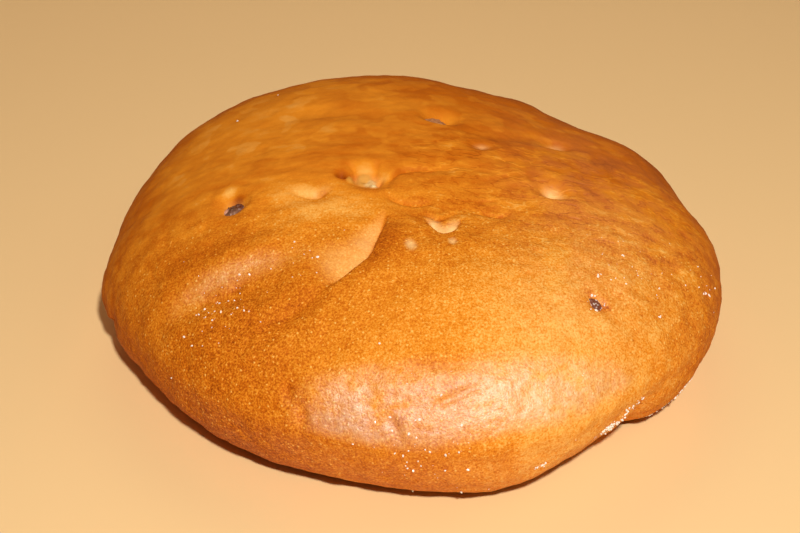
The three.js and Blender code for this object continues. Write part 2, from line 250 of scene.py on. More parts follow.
folds = {  # the crust sinks slowly to a path on its far side, left of its run for 1, then rises steeply
    "main": foldOn(
        [(-5.8, -20.6), (-7.2, -26), (-8.8, -31.5), (-10.7, -37), (-13.3, -40.4), (-17.1, -44),
         (-21.5, -47)],
        farSide=-1, deep=3.0, farSlope=13, flare=0.25, nearEdge=1.6, lip=0.8, fadeIn=0.3, fadeFrom=0.75),
    "left": foldOn(
        [(-63, -36), (-53, -40.5), (-44, -43), (-36, -43.5), (-27, -43)],
        deep=1.6, farSlope=13, nearEdge=5.0, fadeIn=0.4, fadeFrom=0.6),
    "trough": foldOn(
        [(-31.8, -12.8), (-27.6, -14.6), (-23.6, -15.9), (-21.3, -14.9), (-17.8, -13.2)],
        deep=1.2, farSlope=5, flare=0.8, nearEdge=1.4, fadeIn=0.45, fadeFrom=0.6),
    "smile": foldOn(
        [(2.8, -22.4), (4.6, -26.2), (7.4, -29.1), (10.4, -27.4), (12.2, -23)],
        deep=2.0, farSlope=5.5, nearEdge=1.2, fadeIn=0.35, fadeFrom=0.65),
}
foldPower = 1.7
flareEnd = 0.8  # share of the path
lipOffset = 5.0
lipWidth = 4.5
creases = [
    lineOn([(-7, -13.5), (-2.8, -7), (5, -4.3), (15, -2.5), (26, -5)], 2.6, deep=0.6),
    lineOn([(-7, -15), (1.2, -19.2), (11, -20), (23, -20), (36, -21.5)], 2.6, deep=0.6),
    lineOn([(-18, -46), (-24, -49.8), (-29, -52.6), (-36, -53.5)], 2.6, deep=1.2),
    lineOn([(-43, 21.4), (-29, 25.4), (-17, 24.4), (-3, 21.4)], 4.0, deep=1.0),
    lineOn([(-65, -38), (-56, -35), (-50, -33.3), (-37.6, -31.6), (-30, -29.6), (-23, -29)], 4.5, deep=-1.2),
    lineOn([(13, 15.4), (23, 16.4), (35, 19.4), (47, 17.4)], 3.6, deep=1.0),
]
wallDents = [  # a negative dent stands out
    dentAt(-61, 6, 7, 0.9),
    dentAt(-51, 6, 9, 2.7),
    dentAt(-45, 3, 5, 2.8),
    dentAt(-34, 6, 10, -1.0),
    dentAt(-76, 4, 8, -0.8),
    dentAt(-125, 5, 40, -0.35),
    dentAt(-172, 15, 9, -1.6),
    dentAt(-162, 6, 9, -1.3),
    dentAt(180, 24, 14, 1.2),
    dentAt(27, 30, 13, -1.2),
    dentAt(11, 28, 8, 1.0),
    dentAt(-3, 25, 9, -0.8),
    dentAt(58, 33, 9, -1.2),
    dentAt(77, 36, 10, 0.8),
    dentAt(148, 31, 10, -0.7),
]
wallFolds = [  # on the unrolled wall, by bearing and height
    foldOn([(-45.5, 2), (-47, 7), (-47.5, 11), (-47, 15), (-45.5, 18.5), (-42, 21.5)], farSide=-1,
           deep=3.0, farSlope=9, nearEdge=1.2, lip=0.5, fadeIn=0.15, fadeFrom=0.4),
    foldOn([(-177, 9), (-172, 10.5), (-168, 12), (-164, 15), (-160, 20)], farSide=-1,
           deep=1.2, farSlope=6, nearEdge=1.0, fadeIn=0.3, fadeFrom=0.5),
]
flatBelow = 0.5  # up to here the wall's relief is level, so that the base stays flat
wallFullAt = 6.0  # and from here it goes along the outward direction
wallShare = (0.55, 0.8)  # of the rim's radius, where the wall's relief fades in
underPower = 4  # how fast it fades out again under the loaf
topTilt = (-0.05, 0.35)  # upward part of the outward direction, where the relief of the top fades in
seamParts = 1e6  # grid points that agree to a millionth are one


def smoothStep(low, high, x):
    t = np.clip((x - low) / (high - low), 0, 1)
    return t * t * (3 - 2 * t)


def raised(least, share):
    return least + (1 - least) * share


def gridBall(steps):  # a cube's grid blown up to a unit ball, so that no pole pinches
    lines = np.tan(np.linspace(-math.pi / 4, math.pi / 4, steps + 1))
    a, b = np.meshgrid(lines, lines, indexing="ij")
    one = np.ones_like(a)
    sides = [(one, a, b), (-one, b, a), (b, one, a), (a, -one, b), (a, b, one), (b, a, -one)]
    row = steps + 1
    corner = (np.arange(steps)[:, None] * row + np.arange(steps)[None, :]).ravel()
    points = []
    quads = []
    for k, side in enumerate(sides):
        point = np.stack(side, -1).reshape(-1, 3)
        points.append(point / np.linalg.norm(point, axis=1, keepdims=True))
        first = corner + k * row**2
        quads.append(np.stack([first, first + row, first + row + 1, first + 1], -1))
    points = np.concatenate(points)
    quads = np.concatenate(quads)
    keys = np.round(points * seamParts).astype(np.int64)
    _, kept, place = np.unique(keys, axis=0, return_index=True, return_inverse=True)
    return points[kept], place.reshape(-1)[quads]


def rimAt(bearing):
    radius = np.full_like(bearing, rimRadius)
    for lobes, swing, at in loafForm["rimWaves"]:
        radius += swing * np.cos(lobes * (bearing - math.radians(at)))
    return radius


def domeSection():  # half a section at the mean radius, by the share of its length
    angle = np.linspace(0, math.pi / 2, loafForm["profileSteps"])
    power = 2 / loafForm["domeSquareness"]
    radius, rim, crown = rimRadius, loafForm["rimHeight"], loafForm["crownHeight"]
    above = (radius * np.sin(angle) ** power, rim + (crown - rim) * np.clip(np.cos(angle), 0, None) ** power)
    below = (radius - loafForm["baseTuck"] * (1 - np.cos(angle[1:])), rim * (1 - np.sin(angle[1:])))
    out, up = np.concatenate([above, below], axis=1)
    run = np.concatenate([[0], np.cumsum(np.hypot(np.diff(out), np.diff(up)))])
    return run / run[-1], out, up


def domePoints(directions):
    bearing = np.arctan2(directions[:, 1], directions[:, 0])
    fromTop = np.arccos(np.clip(directions[:, 2], -1, 1)) / math.pi
    crustShare = loafForm["crustShare"]
    share, out, up = domeSection()
    onSection = np.minimum(fromTop / crustShare, 1)
    height = np.interp(onSection, share, up)
    radius = np.interp(onSection, share, out) * np.minimum((1 - fromTop) / (1 - crustShare), 1)
    radius *= rimAt(bearing) / rimRadius
    return np.stack([radius * np.cos(bearing), radius * np.sin(bearing), height], -1)


def vertexNormals(points, quads):
    across = np.cross(points[quads[:, 2]] - points[quads[:, 0]], points[quads[:, 3]] - points[quads[:, 1]])
    normals = np.zeros_like(points)
    for corner in quads.T:
        for axis in range(3):
            normals[:, axis] += np.bincount(corner, across[:, axis], len(points))
    return normals / np.linalg.norm(normals, axis=1, keepdims=True)


def ovalDistance(x, y, oval):  # squared, counted in the oval's own half sizes
    turn = math.radians(oval["turn"])
    dx = x - oval["at"][0]
    dy = y - oval["at"][1]
    u = (dx * math.cos(turn) + dy * math.sin(turn)) / oval["along"]
    v = (dy * math.cos(turn) - dx * math.sin(turn)) / oval["across"]
    v = np.where(v < 0, v / oval["near"], v)
    return u * u + v * v


def smoothPath(points, steps=8):
    p = np.array(points, float)
    p = np.vstack([2 * p[0] - p[1], p, 2 * p[-1] - p[-2]])
    t = np.linspace(0, 1, steps, endpoint=False)[:, None]
    runs = []
    for a, b, c, d in zip(p, p[1:], p[2:], p[3:]):
        bend = (2 * a - 5 * b + 4 * c - d) * t**2 + (3 * b - a - 3 * c + d) * t**3
        runs.append(b + ((c - a) * t + bend) / 2)
    return np.vstack([*runs, p[-2:-1]])


def besidePath(points, x, y):  # distance, positive to the left of the path's run, and share of its length
    path = smoothPath(points)
    least = np.full(len(x), np.inf)
    side = np.ones(len(x))
    along = np.zeros(len(x))
    for i, (a, b) in enumerate(zip(path, path[1:])):
        run = b - a
        share = np.clip(((x - a[0]) * run[0] + (y - a[1]) * run[1]) / (run @ run), 0, 1)
        dx = x - a[0] - share * run[0]
        dy = y - a[1] - share * run[1]
        distance = np.hypot(dx, dy)
        nearer = distance < least
        least = np.where(nearer, distance, least)
        side = np.where(nearer, np.where(run[0] * dy - run[1] * dx < 0, -1, 1), side)
        along = np.where(nearer, (i + share) / (len(path) - 1), along)
    return side * least, along


def foldPlace(fold, x, y):  # how far behind the fold, how strong the fold is there, and how far along it
    offset, along = besidePath(fold["path"], x, y)
    strength = smoothStep(0, fold["fadeIn"], along) * smoothStep(1, fold["fadeFrom"], along)
    return offset * fold["farSide"], strength, along


def foldRelief(fold, x, y):
    behind, strength, along = foldPlace(fold, x, y)
    slope = fold["farSlope"] * raised(fold["flare"], smoothStep(0, flareEnd, along))
    far = np.clip(1 - behind / slope, 0, 1) ** foldPower
    near = smoothStep(-fold["nearEdge"], 0, behind)
    lip = fold["lip"] * np.exp(-(((behind + lipOffset) / lipWidth) ** 2))
    return strength * (lip - fold["deep"] * np.where(behind > 0, far, near))


def onPath(line, x, y):  # all on the path, fading to its sides and its ends
    offset, along = besidePath(line["path"], x, y)
    return np.exp(-((offset / line["width"]) ** 2)) * np.sin(math.pi * along)


def creaseRelief(crease, x, y):
    return -crease["deep"] * onPath(crease, x, y)


def pitRelief(pit, x, y):
    return pit["deep"] * np.clip(1 - np.sqrt(ovalDistance(x, y, pit)), 0, None) ** pitPower


def topRelief(x, y):
    height = np.zeros(len(x))
    for swell in swells.values():
        height += swell["rise"] * np.exp(-ovalDistance(x, y, swell))
    for pit in pits.values():
        height -= pitRelief(pit, x, y)
    for fold in folds.values():
        height += foldRelief(fold, x, y)
    for crease in creases:
        height += creaseRelief(crease, x, y)
    return height


def unrolled(path):  # bearing and height to mm round the mean rim and height
    return [(math.radians(bearing) * rimRadius, height) for bearing, height in path]


def wallRelief(points):
    arc = np.arctan2(points[:, 1], points[:, 0]) * rimRadius
    wholeTurn = 2 * math.pi * rimRadius
    height = np.zeros(len(points))
    for dent in wallDents:
        gap = arc - unrolled([(dent["bearing"], 0)])[0][0]
        gap -= wholeTurn * np.round(gap / wholeTurn)
        distance = np.hypot(gap, points[:, 2] - dent["height"]) / dent["radius"]
        height -= dent["deep"] * np.exp(-(distance**2))
    for fold in wallFolds:
        height += foldRelief({**fold, "path": unrolled(fold["path"])}, arc, points[:, 2])
    return height


def loafPoints(points, normals):  # the relief of the wall is level at the base and fades under the loaf
    x, y, z = points.T
    fromMiddle = np.hypot(x, y)
    level = np.stack([x, y, np.zeros_like(x)], -1) / np.maximum(fromMiddle, 1)[:, None]
    upright = smoothStep(flatBelow, wallFullAt, z)[:, None]
    outward = level * (1 - upright) + normals * upright
    baseRadius = (1 - loafForm["baseTuck"] / rimRadius) * rimAt(np.arctan2(y, x))
    wall = smoothStep(*wallShare, fromMiddle / rimRadius) * wallRelief(points)
    wall *= np.minimum(fromMiddle / baseRadius, 1) ** underPower
    top = smoothStep(*topTilt, normals[:, 2]) * (topRelief(x, y) + fineRelief(x, y))
    return points + normals * top[:, None] + outward * wall[:, None]


# What the crust shows beyond its solid: fine creases, torn crumb, its brown tone with painted light and
# shade, egg wash and sugar

fineCreases = [
    lineOn([(-38, -17), (-30, -17), (-22, -17), (-14, -13.6)], 1.8, deep=0.5),
    lineOn([(-7, -14.5), (-5.2, -8.8), (-2.8, -5.7), (1, -4.5), (4.8, -4.2), (12.4, -3.4)], 0.8, deep=1.2),
    lineOn([(-7.3, -15.6), (-4, -17.3), (-0.5, -18.3), (3.4, -18), (6, -17.5)], 0.8, deep=1.2),
    lineOn([(-14.2, -10.5), (-14.1, -7.5), (-14.6, -4.6), (-16, -3)], 0.7, deep=0.9),
    lineOn([(-9.2, -8.5), (-9, -5), (-8.4, -1.8)], 0.8, deep=0.7),
    lineOn([(-8.6, -12.5), (-8.2, -9.5), (-7.4, -7.4)], 0.7, deep=0.9),
    lineOn([(2, -22.1), (4.5, -22.9), (6.3, -23.9), (8.7, -23), (12.5, -18.8)], 0.7, deep=0.9),
    lineOn([(14.3, -20.1), (18.1, -20.6), (21.7, -21), (24.8, -19.8)], 0.7, deep=0.8),
    lineOn([(15.7, -16.6), (18.8, -16), (22, -14.9)], 0.6, deep=0.4),
    lineOn([(12, -11), (22, -6.2), (33, -1.2)], 0.9, deep=0.4),
    lineOn([(-39.2, -40.6), (-41.3, -41.2), (-44, -41.6)], 0.7, deep=0.6),
    lineOn([(-42.8, -43.2), (-46.2, -42.3), (-51, -41)], 0.7, deep=0.5),
    lineOn([(4.0, -74.3), (6, -73), (8, -72.1), (10.6, -71.4), (15.2, -69.7), (18.6, -68.5)], 0.8, deep=0.9),
    lineOn([(-8, -67.8), (-2.7, -67), (4, -66.6), (10.8, -66), (19, -65.5), (27, -63)], 1.3, deep=0.6),
    lineOn([(-5.0, -73.2), (-4.4, -74.6), (-3.1, -75.8), (-2.1, -77.8)], 0.8, deep=1.0),
    lineOn([(-29.3, -65), (-28, -66.2), (-27.3, -68.1)], 0.9, deep=1.0),
    lineOn([(-24.1, -69.2), (-24.5, -70), (-23.9, -71.1)], 0.9, deep=1.2),
    lineOn([(19.8, -78.1), (22.6, -76.8), (24.4, -75.8)], 1.0, deep=0.6),
]
smallPits = {
    "hole": ovalAt((-17.5, -7.8), 1.7, 2.2, near=0.9, deep=2.4),
    "trough": ovalAt((-23.8, -14.9), 1.3, 1.3, near=0.7, deep=0.6),
    "leftDot": ovalAt((-0.2, -36.4), 1.9, 3.2, near=0.8, turn=10, deep=0.5),
    "rightDot": ovalAt((9.7, -34.2), 1.3, 2.2, near=0.8, deep=0.5),
    "rear": ovalAt((24, 2.5), 3.5, 2.4, near=0.8, deep=0.7),
    "rightRaisin": ovalAt((43.1, -46.3), 4.6, 2.6, deep=0.9),
}
crumbLumps = [  # torn crumb in the navel: light is how white it is
    ovalAt((-15.2, -9.2), 1.1, 1.7, rise=0.7, light=0.05),
    ovalAt((-11.7, -8.4), 2.5, 2.8, turn=-15, rise=1.2, light=0.1),
    ovalAt((-10.2, -9.8), 1.5, 2.8, turn=-20, rise=0.8, light=0.5),
    ovalAt((-9.3, -12.0), 1.0, 1.6, turn=-10, rise=0.9, light=1.0),
]
crumbEdge = (1.3, 0.3)

# Paler: the bottoms of pits, fading out over their half sizes, and the far sides of two folds; partly crust
# that stayed less brown in the hollows, partly painted light on far walls that face the lamp
palePits = {"leftRaisin": 0.4, "navel": 0.5, "roundDimple": 0.8, "rearRight": 0.3, "rear": 0.35}
palePitEdge = (0.6, 0)
paleSmallPits = {"trough": 0.5, "leftDot": 0.5, "rightDot": 0.55}
paleSmallEdge = (1, 0.2)
# the smile's far side is made fully pale, painted light on a hollow face that the lamp hardly reaches
paleFolds = {"smile": {"pale": 1.0, "end": (3.2, 0.4)}, "trough": {"pale": 0.25, "end": (4, 0)}}
paleFoldStart = (-0.3, 0.2)
foldFace = {  # the smooth face on the far side of the main fold, paler and less brown: partly crust that stayed less brown under the fold, partly painted light on a face turned to the lamp
    "wide": 13.0, "flare": 0.15, "start": (-0.4, 0.3), "end": (1.05, 0.05), "pale": 0.31, "brown": -0.21,
}
# how brown the crust is, with painted light mixed in: crease darkens the fine creases as painted shade, left
# lightens the left side as painted light, edge and rear darken the rim, wall the lower wall
browningAndPaintedLight = {
    "middle": 0.47, "edge": 0.08, "rear": 0.26, "left": -0.09, "wall": 0.09, "patched": 0.04, "crease": 0.10,
}
blots = [  # where the crust is lighter or darker; the ones marked paint light or shade
    ovalAt((35, -60), 42, 26, turn=8, brown=-0.33),
    ovalAt((34, -78), 18, 14, turn=30, brown=-0.14),
    # painted highlight: this and the next two make the front paler where the lamp's highlight lies
    ovalAt((-9, -72), 22, 9, turn=-8, brown=-0.11),
    ovalAt((-16.5, -69.5), 7, 5, turn=-15, brown=-0.10),
    ovalAt((21, -74), 14, 6, turn=8, brown=-0.07),
    ovalAt((-22, -20), 15, 10, turn=-12, brown=-0.30),
    ovalAt((-25, -13.2), 4.5, 2.0, turn=-5, brown=-0.16),
    # painted shade on the rear right
    ovalAt((48, 8), 15, 13, brown=0.10),
    ovalAt((0, 14), 16, 8, brown=0.05),
    ovalAt((-28.9, 29.3), 8.0, 4.5, brown=-0.06),
    ovalAt((-5.2, 29.2), 6.5, 5.0, turn=-15, brown=-0.10),
    ovalAt((-31.5, 15.4), 5.5, 3.5, turn=5, brown=-0.10),
    ovalAt((-16.3, 30.5), 4.0, 5.0, brown=0.07),
    ovalAt((0.5, 40.0), 10.0, 5.0, brown=0.07),
    ovalAt((58, -24), 24, 36, turn=-10, brown=-0.10),
    # painted light: the rear left made lighter, as if more light fell there
    ovalAt((-38, 30), 40, 30, turn=10, brown=-0.17),
    ovalAt((2, 58), 40, 20, brown=0.09),
    ovalAt((40, 42), 30, 20, turn=-40, brown=0.06),
    # painted shade in the navel's hole
    ovalAt((-17.4, -7.8), 1.6, 2.0, brown=0.40),
    ovalAt((-21.8, -14.7), 0.9, 1.2, brown=0.20),
    # painted highlight on the far wall of the left raisin's pit
    ovalAt((-45.4, -9.2), 1.9, 1.9, turn=20, brown=-0.30),
    # painted shadow in the pit, above the left raisin
    ovalAt((-43.0, -11.9), 1.7, 1.3, brown=0.40),
    ovalAt((10.5, 23.5), 3.4, 3.0, brown=-0.18),
    ovalAt((15.0, 19.5), 4.0, 4.0, brown=0.12),
    ovalAt((9.3, 16.0), 4.0, 1.6, brown=0.12),
    ovalAt((-6.3, -7.2), 2.2, 2.8, turn=-30, brown=-0.26),
    ovalAt((-11.4, -4.6), 3.0, 2.2, brown=-0.24),
    ovalAt((43.1, -47.6), 3.4, 2.0, brown=0.12),
    ovalAt((41.5, -44.5), 1.2, 1.2, brown=0.25),
    ovalAt((45.6, -46.8), 1.3, 0.8, turn=-20, brown=0.40),
]
paintedLightAndShadeLines = [  # painted light and shade along the folds and ridges of the front left: darker lines are painted shade beside the folds and on the plateau, lighter ones painted sheen on the ridges
    lineOn([(-66, -31), (-55, -30), (-46, -29), (-38, -28)], 4.5, brown=0.13),
    lineOn([(-60, -41), (-54.5, -40), (-49.6, -38), (-43.4, -37.4), (-37.5, -36.6), (-31, -35.6), (-24, -34)],
           2.8, brown=-0.18),
    lineOn([(-60, -42), (-52, -43.5), (-44, -45.5), (-36, -47)], 3.5, brown=-0.08),
    lineOn([(-18, -46), (-24, -49.8), (-31, -52.6), (-41, -53.5)], 3.0, brown=0.13),
    lineOn([(-3, -22), (-4.6, -28), (-6.3, -34), (-8.3, -39.3), (-11.4, -43.2), (-17, -47.5)],
           2.8, brown=0.18),
]
washing = {  # where the egg wash shines, as shares
    "height": 24.0,  # where it stops on the way down, in waves: lobes, swing, shift in radians
    "waves": [(5, 1.4, 1), (13, 0.9, 0)],
    "lobeFrom": 10, "lobeSlope": 0.25,  # the front lobe runs back on the right of this
    "dull": 0.3, "dullAt": 6, "dullWidth": 14,
    "thinner": 0.24,  # right of the middle
    "wall": 0.14, "right": 0.18,
}
washedRidge = lineOn(
    [(-60, -41), (-54.5, -40), (-49.6, -38.2), (-43.4, -37.6), (-37.5, -37), (-30, -36.4), (-24, -34)],
    2.4, share=0.4)


def patchAt(place, spread, grains):  # how densely they lie
    return {"at": place, "spread": spread, "grains": grains}


sugarPatches = [
    patchAt((-45, -47, 36), 8, 9),
    patchAt((-27, -37, 46), 6, 9),
    patchAt((54, -33, 40), 9, 6),
    patchAt((72, -24, 29), 5, 12),
    patchAt((3, -77, 25), 11, 7),
    patchAt((39.5, -64.3, 31.2), 1.5, 30),
    patchAt((42.8, -46.8, 39.6), 2.2, 24),
    patchAt((1.2, -76.6, 28.1), 2.2, 28),
    patchAt((46.8, -61.9, 13.8), 1.6, 900),
    patchAt((37.4, -70.7, 17.9), 0.7, 90),
    patchAt((29.6, -74.2, 12.7), 0.9, 240),
    patchAt((-46.8, 31.7, 42.4), 1.0, 16),
    patchAt((-37.7, 45.9, 41.9), 1.0, 16),
]
sugarRows = [  # by bearing and height
    {"path": [(-57, 13), (-54, 14), (-51.5, 14), (-49.5, 17.5), (-46, 18.5)], "grains": 150},
    {"path": [(-40, 4.5), (-36, 5.5), (-32, 8), (-29, 11)], "grains": 170},
]
rowWidth = 0.7
rowEnd = 0.02  # share of a row where it fades
crownFrom = 30  # marks in plan stop at this height, so that they stay off the base
shoulderFrom = 25
ramps = {  # none at the first place on an axis, all at the second
    "edge": ("out", 0.68, 1.0), "rear": ("y", -25, 55), "front": ("y", 10, -45), "left": ("x", -30, -78),
    "wall": ("z", 26, 14), "brownWall": ("x", 60, -20),
    # under marks the lowest few mm, darkened as bottom crust and as painted contact shade
    "above": ("z", flatBelow, wallFullAt), "under": ("z", 4.5, 0.5),
    "patchedRear": ("y", -12, 12), "patchedTop": ("z", 25, 32),
    "stippledFront": ("y", 0, -38), "coarseLeft": ("x", -10, -40), "coarseFront": ("y", -38, -52),
    "wrinkledRear": ("y", -25, 15), "wrinkledRight": ("slant", 10, 55),
    "rippledRear": ("y", -45, -15), "rippledRight": ("x", 25, 50), "rippledFront": ("y", -66, -45),
    "creasedRight": ("x", -12, 8), "creasedFront": ("y", -42, -28), "creasedRear": ("y", 22, 4),
    "streakedWall": ("z", 40, 15),
    "washedTop": ("overWashLine", -2.5, 2.5), "washedFront": ("lobe", -65, -74),
    "washedLeft": ("x", -32, -15), "washedMiddle": ("x", -12, 0), "washedWall": ("y", -40, -70),
    "washedRight": ("x", 12, 45), "washedSide": ("z", 12, 25),
}
lessened = {  # how much of a layer goes on the smooth face, at the rear and at the edge
    "patched": {"edge": 0.5},
    "stippled": {"face": 0.3},
    "wrinkled": {"face": 0.7, "rear": 0.6},
    "stretched": {"face": 0.6},
    "rippled": {"face": 0.6, "rear": 0.9},
    "washedRight": {"edge": 0.7, "rear": 0.6},
}
layerShares = {
    "stippledLeast": 0.06,
    "coarse": 0.35,  # more stipple at the front left
    "wrinkledRear": 0.2, "wrinkledRight": 0.5,
    "stretchedLeast": 0.3, "stretchedRear": 0.6,
}
slant = 0.3  # of the wrinkles' edge at the right
streakSize = (2.2, 2.2, 8.8)
flowTurn = 2.9  # wrinkles run round the loaf: their noise's radius, and mm outwards for one wave
flowOut = 4.0


def fineRelief(x, y):
    height = np.zeros(len(x))
    for crease in fineCreases:
        height += creaseRelief(crease, x, y)
    for pit in smallPits.values():
        height -= pitRelief(pit, x, y)
    for lump in crumbLumps:
        height += lump["rise"] * np.clip(1 - ovalDistance(x, y, lump), 0, None)
    return height


def pitPaleness(x, y):
    pale = np.zeros(len(x))
    for ovals, shares, edge in ((pits, palePits, palePitEdge), (smallPits, paleSmallPits, paleSmallEdge)):
        for name, share in shares.items():
            pale = np.maximum(pale, share * smoothStep(*edge, np.sqrt(ovalDistance(x, y, ovals[name]))))
    for name, far in paleFolds.items():
        behind, strength, _ = foldPlace(folds[name], x, y)
        strength *= smoothStep(*paleFoldStart, behind) * smoothStep(*far["end"], behind)
        pale = np.maximum(pale, far["pale"] * strength)
    return pale


def smoothFace(x, y):
    behind, strength, along = foldPlace(folds["main"], x, y)
    wide = foldFace["wide"] * raised(foldFace["flare"], smoothStep(0, flareEnd, along))
    return strength * smoothStep(*foldFace["start"], behind) * smoothStep(*foldFace["end"], behind / wide)


def rampShares(x, y, z):
    bearing = np.arctan2(y, x)
    washLine = washing["height"]
    for lobes, swing, shift in washing["waves"]:
        washLine = washLine + swing * np.sin(lobes * bearing + shift)
    places = {
        "x": x, "y": y, "z": z,
        "out": np.hypot(x, y) / rimAt(bearing),
        "slant": x - slant * y,
        "overWashLine": z - washLine,
        "lobe": y - washing["lobeSlope"] * np.maximum(x - washing["lobeFrom"], 0),
    }
    return {name: smoothStep(low, high, places[axis]) for name, (axis, low, high) in ramps.items()}


def spared(layer, at):
    return math.prod(1 - share * at[place] for place, share in lessened[layer].items())


# the crust's brown tone, with the painted light and shade that some blots, the fold lines and the creases
# carry
def browningAndShadeLayer(points, at):
    x, y, z = points.T
    brown = browningAndPaintedLight["middle"] + at["edge"] * (browningAndPaintedLight["edge"] + browningAndPaintedLight["rear"] * at["rear"])
    brown += browningAndPaintedLight["left"] * at["left"] + browningAndPaintedLight["wall"] * at["wall"] * at["brownWall"]
    brown += foldFace["brown"] * at["face"] + browningAndPaintedLight["patched"] * at["patched"]
    for blot in blots:
        brown += blot["brown"] * np.exp(-ovalDistance(x, y, blot))
    # painted light and shade along the folds and ridges
    for line in paintedLightAndShadeLines:
        brown += line["brown"] * onPath(line, x, y) * (z > shoulderFrom)
    # painted shade: darker along the fine creases
    for crease in fineCreases:
        brown -= browningAndPaintedLight["crease"] * creaseRelief(crease, x, y)
    return brown


def crumbLayers(x, y):
    crumb = np.zeros(len(x))
    light = np.zeros(len(x))
    for lump in crumbLumps:
        share = smoothStep(*crumbEdge, ovalDistance(x, y, lump))
        crumb = np.maximum(crumb, share)
        light = np.maximum(light, share * lump["light"])
    return crumb, light


def washLayer(points, at):
    x, y, z = points.T
    dull = washing["dull"] * np.exp(-(((x - washing["dullAt"]) / washing["dullWidth"]) ** 2))
    front = at["washedTop"] * at["washedFront"] * at["washedLeft"]
    front *= (1 - dull) * (1 - washing["thinner"] * at["washedMiddle"])
    wall = washing["wall"] * at["wall"] * at["washedWall"]
    right = washing["right"] * at["washedRight"] * at["washedSide"] * spared("washedRight", at)
    ridge = washedRidge["share"] * onPath(washedRidge, x, y) * (z > shoulderFrom)
    return np.max([front, wall, right, ridge], axis=0)


def sugarLayer(points):
    arc = np.arctan2(points[:, 1], points[:, 0]) * rimRadius
    grains = np.zeros(len(points))
    for patch in sugarPatches:
        distance = np.linalg.norm(points - np.array(patch["at"]), axis=1) / patch["spread"]
        grains = np.maximum(grains, patch["grains"] * np.exp(-(distance**2)))
    for row in sugarRows:
        offset, along = besidePath(unrolled(row["path"]), arc, points[:, 2])
        within = smoothStep(0, rowEnd, along) * smoothStep(1, 1 - rowEnd, along)
        grains = np.maximum(grains, row["grains"] * within * np.exp(-((offset / rowWidth) ** 2)))
    return grains


def crustLayers(points):
    x, y, z = points.T
    bearing = np.arctan2(y, x)
    share = layerShares
    at = rampShares(x, y, z)
    at["face"] = smoothFace(x, y)
    at["patched"] = at["patchedRear"] * at["patchedTop"] * spared("patched", at)
    crumb, crumbLight = crumbLayers(x, y)
    crown = z > crownFrom
    coarse = 1 + share["coarse"] * at["coarseLeft"] * at["coarseFront"]
    stretched = np.maximum(at["front"], share["stretchedRear"] * at["rear"] * (1 - at["edge"]))
    marks = {
        "stippled": raised(share["stippledLeast"], at["stippledFront"]) * coarse,
        "wrinkled": sum(share[name] * at[name] for name in ("wrinkledRear", "wrinkledRight")),
        "stretched": raised(share["stretchedLeast"], stretched),
        "rippled": np.maximum(at["rippledRear"], at["rippledRight"] * at["rippledFront"]),
    }
    flow = [flowTurn * np.cos(bearing), flowTurn * np.sin(bearing), np.hypot(x, y) / flowOut]
    return {
        "browned": browningAndShadeLayer(points, at),
        "pale": np.maximum(pitPaleness(x, y) * crown, foldFace["pale"] * at["face"]),
        "crumb": crumb * crown,
        "crumbLight": crumbLight,
        "washed": washLayer(points, at),
        **{name: at["above"] * mark * spared(name, at) for name, mark in marks.items()},
        "cobbled": at["patched"],
        "under": at["under"],
        "sugared": sugarLayer(points),
        "creased": at["creasedRight"] * at["creasedFront"] * at["creasedRear"] * crown,
        "streaked": at["above"] * at["streakedWall"],
        "streak": points / np.array(streakSize),
        "flow": np.stack(flow, -1),
    }


def storeLayers(mesh, layers):
    for name, values in layers.items():
        vector = values.ndim == 2
        attribute = mesh.attributes.new(name, "FLOAT_VECTOR" if vector else "FLOAT", "POINT")
        attribute.data.foreach_set("vector" if vector else "value", values.astype(np.float32).ravel())


# Crust finish

crustFinish = {
    "stops": [
        (0.00, (0.90, 0.46, 0.10)),
        (0.30, (0.76, 0.255, 0.014)),
        (0.55, (0.56, 0.135, 0.003)),
        (0.80, (0.36, 0.070, 0.001)),
        (1.00, (0.18, 0.032, 0.001)),
    ],
    "paleColour": (0.95, 0.63, 0.27),
    "crumbColour": (0.68, 0.28, 0.025),
    "crumbLight": (1.0, 0.78, 0.40),
    # the bottom crust's own darker brown, which also paints contact shade on the lowest few mm of the wall
    "bottomCrustAndShade": (0.12, 0.030, 0.004),
    "mottleNoise": (26.0, 3, 0.5), "mottle": 0.22,  # size, detail and roughness, as for every noise
    "blotchNoise": (6.0, 3, 0.6), "blotch": 0.20,
    "rippleNoise": (4.2, 3, 0.6), "rippleStretch": (0.45, 1.0, 1.0), "ripple": 0.62,
    "wrinkleNoise": (3.4, 2.5, 0.55), "wrinkle": 0.12,
    "wrinkleWidth": 0.05, "wrinkleWhere": (-0.1, 0.12),  # of the blotches
    "crinkleShift": (0.021, 0.013, 0.007),  # in metres, light lines between the dark wrinkles; in colour the dark wrinkles are painted shade and the light lines painted highlight
    "crinkleWidth": 0.06, "crinkleWhere": (0.1, -0.12), "crinkle": 0.15,
    "streakNoise": (1 / mm, 3, 0.5), "streak": 0.2,  # its layer counts in waves already
    "grainNoise": (0.5, 1, 0.7), "grain": 0.9,
    "pebbleNoise": (1.7, 1, 0.5), "pebble": 0.24,
    # cobble: pale patches at the rear, painted light for facets of the crust that face the lamp
    "cobbleNoise": (10.0, 2, 0.5), "cobbleEdge": (0.51, 0.58), "cobble": 0.10,
    # small bright blisters: a bump, and their glints painted as lighter colour
    "speckSize": 1.1, "speckEdge": (0.36, 0.1), "blisterGlint": 0.5,
    "speckPower": 2.0,  # the more, the fewer show
    "paleMiddle": 0.9, "paleBlotch": 2.0, "paleRipple": 1.5,
    "bumpHeight": 0.08,
    "grainBump": 1.8, "pebbleBump": 3.0, "blotchBump": 1.5, "rippleBump": 3.0,
    "roughness": 0.70, "roughnessSwing": 0.2, "specular": 0.10,
    "washRoughness": 0.62, "washSpecular": 0.9, "washIor": 2.5, "washDarker": 0.06,
    "washPatch": (-0.36, 0.06),  # of mottle and blotches
    "washGrain": 0.6, "washPebble": 1.4,
}


def thinLines(graph, place, noise, width):  # where a noise crosses its middle
    return graph.step(abs(graph.swing(place, *noise)), width, 0.0)


